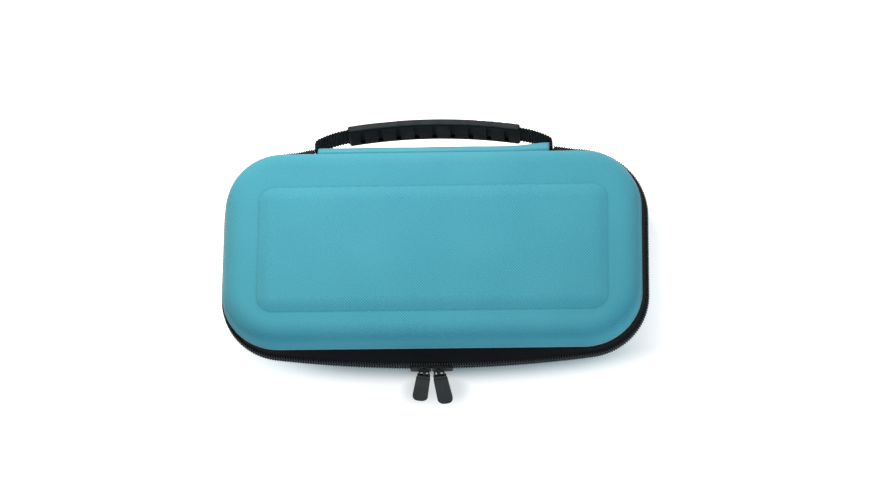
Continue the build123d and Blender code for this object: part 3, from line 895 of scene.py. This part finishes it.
def make_net():
    corner = NET_PITCH / math.sqrt(3)
    turn = np.arange(NET_SIDES) * 2 * math.pi / NET_SIDES
    reach = np.where(np.arange(NET_SIDES) % 2 == 0, NET_PITCH / 2, corner)
    vertices, faces, places, edges = [], [], {}, {}

    def pair(x, y, half, shared):
        """Numbers of the upper and lower vertex at a place."""
        key = (round(x, 2), round(y, 2))
        if shared and key in places:
            return places[key]
        ripple = NET_SAG * math.sin(x / 9.1) * math.sin(y / 7.3 + 0.8)
        vertices.extend([(x, y, NET_Z + ripple + half), (x, y, NET_Z + ripple - half)])
        numbers = (len(vertices) - 2, len(vertices) - 1)
        if shared:
            places[key] = numbers
        return numbers

    for x, y in net_cells():
        outer = [pair(x + r * math.cos(t), y + r * math.sin(t), NET_HALF, True) for r, t in zip(reach, turn)]
        inner = [pair(x + NET_HOLE * math.cos(t), y + NET_HOLE * math.sin(t), NET_LIP, False) for t in turn]
        for k in range(NET_SIDES):
            n = (k + 1) % NET_SIDES
            faces.append((outer[k][0], outer[n][0], inner[n][0], inner[k][0]))
            faces.append((outer[k][1], inner[k][1], inner[n][1], outer[n][1]))
            faces.append((inner[k][0], inner[n][0], inner[n][1], inner[k][1]))
            edge = tuple(sorted((outer[k], outer[n])))
            edges[edge] = edges.get(edge, 0) + 1
    for (a, b), uses in edges.items():
        if uses == 1:
            faces.append((a[0], a[1], b[1], b[0]))
    net = make_piece("pocket_net", vertices, faces, "lid", net_cloth)
    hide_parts("pocket_mesh")
    return net


def make_hem():
    """Binding along the net's sewn edge, from the mouth round the back."""
    line = rim_line(HEM_INSET + HEM_WIDTH / 2)
    line, length = even(line[line[:, 1] > POCKET_MOUTH - 0.01], HEM_POINTS)
    _, inward = headings(line)
    section = rounded_section(HEM_WIDTH / 2, HEM_THICKNESS / 2, HEM_ROUND, 4)
    size = len(section)
    flat = np.repeat(line, size, 0) + np.repeat(inward, size, 0) * np.tile(section[:, :1], (len(line), 1))
    vertices = np.column_stack([flat, NET_Z + np.tile(section[:, 1], len(line))])
    along = np.repeat(np.linspace(0, length, len(line)), size)
    uvs = np.stack([along, np.tile(section[:, 0], len(line))], 1)
    faces = skin((len(line), size))
    return make_piece("pocket_net_hem", vertices, faces, "lid", binding_cloth, uvs)


def make_mouth():
    """Gathered elastic along the pocket's mouth."""
    low, high = (np.array(corner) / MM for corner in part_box("pocket_binding"))
    middle, half = (low + high) / 2, (high - low) / 2
    ribs = round(2 * half[0] / MOUTH_RIB)
    count = ribs * MOUTH_STEPS + 1
    x = np.linspace(low[0], high[0], count)
    section = rounded_section(half[1], half[2], MOUTH_ROUND, 4)
    size = len(section)
    gather = 1 - MOUTH_SWELL * (1 - np.abs(np.sin(np.linspace(0, np.pi * ribs, count))))
    vertices = np.column_stack([
        np.repeat(x, size),
        middle[1] + np.outer(1 - (1 - gather) / 3, section[:, 0]).ravel(),
        middle[2] + np.outer(gather, section[:, 1]).ravel(),
    ])
    uvs = np.stack([np.repeat(x, size), np.tile(section[:, 0] + section[:, 1], count)], 1)
    faces = skin((count, size))
    mouth = make_piece("pocket_mouth_elastic", vertices, faces, "lid", elastic_cloth, uvs)
    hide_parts("pocket_binding")
    y, ends = middle[1] + half[1] - MOUTH_SEAM, (low[0] + 1, high[0] - 1)
    faced = (low[2], -1), (high[2], 1)
    rows = [straight_row((ends[0], y, z), (ends[1], y, z), (0, 0, side)) for z, side in faced]
    make_stitches("pocket_mouth_stitches", rows, "lid")


def make_pocket():
    net, hem = make_net(), make_hem()
    make_mouth()


make_pocket()

# Elastic bands across the floor of the base, ribbed along their length and sewn down at both ends
BAND_RIBS, RIB_POINTS, BAND_RIB_DEPTH, BAND_STATIONS = 10, 6, 0.16, 121
SEWN_EDGE, SEWN_DEPTH, SEWN_DIP, DIP_WIDTH = 1.3, 5.0, 0.22, 0.6


def make_band(name, node):
    low, high = (np.array(corner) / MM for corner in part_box(node))
    x = np.linspace(low[0], high[0], BAND_RIBS * RIB_POINTS + 1)
    ribs = BAND_RIB_DEPTH * (1 - np.abs(np.sin(np.linspace(0, np.pi * BAND_RIBS, len(x)))))
    y = np.linspace(low[1], high[1], BAND_STATIONS)
    from_end = np.minimum(y - low[1], high[1] - y)
    seams = SEWN_EDGE, SEWN_EDGE + SEWN_DEPTH
    dips = sum(SEWN_DIP * np.exp(-(((from_end - at) / DIP_WIDTH) ** 2)) for at in seams)
    top = high[2] - ribs[None] - dips[:, None]
    bottom = np.full_like(top, low[2])
    across = np.concatenate([x, x[::-1]])
    heights = np.concatenate([top, bottom], 1)
    size = len(across)
    vertices = np.column_stack([np.tile(across, len(y)), np.repeat(y, size), heights.ravel()])
    uvs = np.stack([np.repeat(y, size), np.tile(across, len(y))], 1)
    band = make_piece(name, vertices, skin((len(y), size)), "base", elastic_cloth, uvs)
    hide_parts(node)
    rows = []
    left, right, z = low[0] + SEWN_EDGE, high[0] - SEWN_EDGE, high[2] - SEWN_DIP
    for end, inward in ((low[1], 1), (high[1], -1)):
        near, far = end + inward * SEWN_EDGE, end + inward * (SEWN_EDGE + SEWN_DEPTH)
        rows += [straight_row((left, at, z), (right, at, z), (0, 0, 1)) for at in (near, far)]
        rows += [straight_row((at, near, z), (at, far, z), (0, 0, 1)) for at in (left, right)]
    stitches = make_stitches(name + "_stitches", rows, "base")


make_band("left_band_elastic", "left_elastic_band")
make_band("right_band_elastic", "right_elastic_band")


# Camera: the photograph's angle, scale and framing
IMAGE_WIDTH, IMAGE_MIDDLE = 870, (435.0, 244.5)
TARGET, TARGET_PIXEL = Vector((0, 0, 0.030)), (432.1, 250.56)
CAMERA_DISTANCE, MM_PER_PIXEL, SENSOR_WIDTH = 2.0, 0.55, 36.0
ELEVATION, AZIMUTH, ROLL = math.radians(68.0), math.radians(9.14), math.radians(-9.21)


def place_camera():
    back = Vector((
        math.sin(AZIMUTH) * math.cos(ELEVATION), -math.cos(AZIMUTH) * math.cos(ELEVATION), math.sin(ELEVATION)
    ))
    level = Vector((math.cos(AZIMUTH), math.sin(AZIMUTH), 0))
    right = level * math.cos(ROLL) + back.cross(level) * math.sin(ROLL)
    up = back.cross(right)
    lens = bpy.data.cameras.new("camera")
    lens.sensor_width = SENSOR_WIDTH
    lens.lens = SENSOR_WIDTH * CAMERA_DISTANCE / (IMAGE_WIDTH * MM_PER_PIXEL * MM)
    camera = bpy.data.objects.new("camera", lens)
    offset = right * (IMAGE_MIDDLE[0] - TARGET_PIXEL[0]) + up * (TARGET_PIXEL[1] - IMAGE_MIDDLE[1])
    place = TARGET + back * CAMERA_DISTANCE + offset * MM_PER_PIXEL * MM
    camera.matrix_world = Matrix.Translation(place) @ Matrix((right, up, back)).transposed().to_4x4()
    bpy.context.scene.collection.objects.link(camera)
    bpy.context.scene.camera = camera


# Floor: white to the camera, apart from a patch under and before the case, shaped as its shadow, where the
# white lift is lowered: painted shadow, with the real shadow showing there too.
# The paper is warm, because the two fill lamps are bluish and the photograph's shadow is grey.
FLOOR_SIZE, PAPER_GRAIN, WHITE_LIFT, SHADE_LIFT = 6.0, 20.0, 0.93, 0.03
PAPER_TONES = (0.89, 0.83, 0.80, 1), (0.91, 0.85, 0.82, 1)
# In millimetres: the painted shadow's bowed front and its back, their soft edge, and its fading to both sides
SHADE_RADIUS, SHADE_BACK, SHADE_EDGE = 678.0, 58.0, (-7.7, 12.0)
SHADE_X, FADE_START, FADE_END, FADE_SHARE = 14.0, 60.0, 130.0, 0.8
# The painted shadow under the pull tabs: middle, half size, corner and soft edge in millimetres, and its share
TABS_PLACE, TABS_HALF, TABS_CORNER, TABS_EDGE, TABS_SHADE = (1.0, -68.0), (18.0, 10.0), 8.0, 6.0, 0.40


def painted_shadow_patch(shader):
    """Share of the painted shadow at a place on the floor, from 0 to 1; there the white lift is lowered and
    the real shadow shows.
    """
    x, y, _ = shader.split(shader.add("ShaderNodeTexCoord").outputs["Object"])
    from_centre = shader.length(x, shader.math("SUBTRACT", y, (BOW_RADIUS - ZIP_FRONT) * MM))
    before = shader.math("SUBTRACT", from_centre, SHADE_RADIUS * MM)
    beside = shader.math("MAXIMUM", before, shader.math("SUBTRACT", y, SHADE_BACK * MM))
    shade = shader.flip(shader.smooth(beside, SHADE_EDGE[0] * MM, SHADE_EDGE[1] * MM))
    aside = shader.math("ABSOLUTE", shader.math("SUBTRACT", x, SHADE_X * MM))
    fall = shader.smooth(aside, FADE_START * MM, FADE_END * MM)
    slope = shader.spread(aside, 0.0, FADE_END * MM)
    fade = shader.weigh(fall, FADE_SHARE, slope, 1 - FADE_SHARE)
    shade = shader.math("MULTIPLY", shader.math("MULTIPLY", shade, shade), shader.flip(fade))
    place, half = (tuple(at * MM for at in pair) for pair in (TABS_PLACE, TABS_HALF))
    past_tabs = shader.rounded_distance(x, y, place, half, TABS_CORNER * MM)
    under_tabs = shader.choose(shader.smooth(past_tabs, -TABS_EDGE * MM, TABS_EDGE * MM), TABS_SHADE, 0.0)
    return shader.math("MAXIMUM", shade, under_tabs)


def make_floor():
    bpy.ops.mesh.primitive_plane_add(size=FLOOR_SIZE, location=(0, 0, 0))
    floor = bpy.context.object
    floor.name = "floor"
    shader = Shader("floor_paper", roughness=0.9, specular=0.1)
    shader.finish(shader.tint(shader.noise(PAPER_GRAIN * MM, 2.0), *PAPER_TONES))
    shader.bsdf.inputs["Emission Color"].default_value = (1, 1, 1, 1)
    rays = shader.add("ShaderNodeLightPath").outputs
    seen = shader.math("MAXIMUM", rays["Is Camera Ray"], rays["Is Glossy Ray"])
    seen = shader.math("MAXIMUM", seen, rays["Is Transmission Ray"])
    # Painted shadow: the white lift is lowered in the patch
    lift = shader.choose(painted_shadow_patch(shader), WHITE_LIFT, SHADE_LIFT)
    shader.put(shader.bsdf.inputs["Emission Strength"], shader.math("MULTIPLY", seen, lift))
    floor.data.materials.append(shader.material)


# Lamps: name, place in metres, size, power and colour
LAMPS = (
    ("key", (-0.11, 0.28, 0.43), 0.22, 2.22, (1, 0.98, 0.96)),
    ("front", (0.10, -1.20, 0.12), 0.8, 7.4, (0.56, 0.83, 1)),
    ("side", (1.20, -0.15, 0.16), 0.8, 4.4, (0.54, 0.84, 1)),
)
LAMP_AIM = Vector((0, 0, 0.02))
WORLD_LIGHT, WORLD_SEEN = 0.16, 1.0


def place_lamps():
    for name, place, size, power, color in LAMPS:
        lamp = bpy.data.lights.new(name, "AREA")
        lamp.size = size
        lamp.energy = power
        lamp.color = color
        light = bpy.data.objects.new(name, lamp)
        light.location = place
        light.visible_camera = False
        light.rotation_mode = "QUATERNION"
        light.rotation_quaternion = (LAMP_AIM - Vector(place)).to_track_quat("-Z", "Y")
        bpy.context.scene.collection.objects.link(light)


def make_world():
    """A dim white world that the camera and reflections see as white."""
    world = bpy.data.worlds.new("studio")
    bpy.context.scene.world = world
    world.use_nodes = True
    tree = world.node_tree
    background = tree.nodes["Background"]
    background.inputs["Color"].default_value = (1, 1, 1, 1)
    rays = tree.nodes.new("ShaderNodeLightPath")
    seen = rays.outputs["Is Camera Ray"]
    for other in ("Is Glossy Ray", "Is Transmission Ray"):
        either = tree.nodes.new("ShaderNodeMath")
        either.operation = "MAXIMUM"
        tree.links.new(seen, either.inputs[0])
        tree.links.new(rays.outputs[other], either.inputs[1])
        seen = either.outputs[0]
    strength = tree.nodes.new("ShaderNodeMapRange")
    tree.links.new(seen, strength.inputs[0])
    strength.inputs[3].default_value = WORLD_LIGHT
    strength.inputs[4].default_value = WORLD_SEEN
    tree.links.new(strength.outputs[0], background.inputs["Strength"])


place_camera()
make_floor()
place_lamps()
make_world()
bpy.context.scene.view_settings.view_transform = "Standard"
